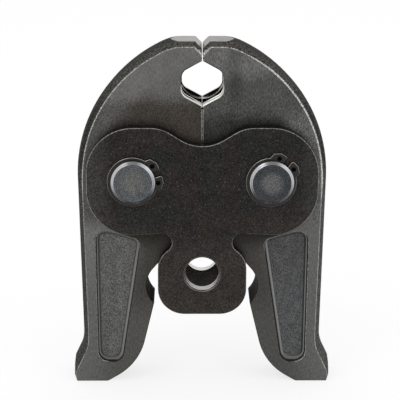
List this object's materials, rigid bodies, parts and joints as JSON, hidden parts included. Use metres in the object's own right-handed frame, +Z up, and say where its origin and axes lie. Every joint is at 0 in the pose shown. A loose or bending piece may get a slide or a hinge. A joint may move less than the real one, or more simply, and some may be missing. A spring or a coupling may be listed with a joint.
{
  "type": "press fitting tool jaw",
  "caption": "Scissor press jaw for a pipe press tool: two forged arms on pivot pins between side plates, with a hexagonal press opening.",
  "frame": {"origin": "the middle of the tool pin's bore, half way between the two side plates", "axes": "+Z up from the tool pin to the jaw tips, +Y along the pins from the front plate to the rear one, +X to the right seen from the front; the jaw stands closed on its two feet"},
  "size_m": [0.1084, 0.0382, 0.1461],
  "materials": {
    "arm_steel": "phosphated forged steel with fine grinding lines",
    "plate_steel": "black oxide, satin",
    "pin_steel": "turned, blue grey",
    "ring_steel": "black oxide spring steel",
    "spring_steel": "bright drawn wire"
  },
  "bodies": {
    "side_plates": {"front_side_plate": "plate_steel", "rear_side_plate": "plate_steel", "left_pivot_pin": "pin_steel", "right_pivot_pin": "pin_steel", "left_front_retaining_ring": "ring_steel", "left_rear_retaining_ring": "ring_steel", "right_front_retaining_ring": "ring_steel", "right_rear_retaining_ring": "ring_steel", "closing_spring": "spring_steel"},
    "left_arm": {"left_jaw_arm": "arm_steel"},
    "right_arm": {"right_jaw_arm": "arm_steel"}
  },
  "joints": [
    {"name": "left_arm_pivot", "type": "hinge", "parent": "side_plates", "child": "left_arm", "pos_m": [-0.0283, 0, 0.04], "axis": [0, -1, 0], "range_deg": [0, 11.5], "stiffness_Nm_per_rad": 0.6, "springref_deg": -20.05, "deforming": ["closing_spring"]},
    {"name": "right_arm_pivot", "type": "hinge", "parent": "side_plates", "child": "right_arm", "pos_m": [0.0283, 0, 0.04], "axis": [0, 1, 0], "range_deg": [0, 11.5], "stiffness_Nm_per_rad": 0.6, "springref_deg": -20.05, "deforming": ["closing_spring"]}
  ]
}
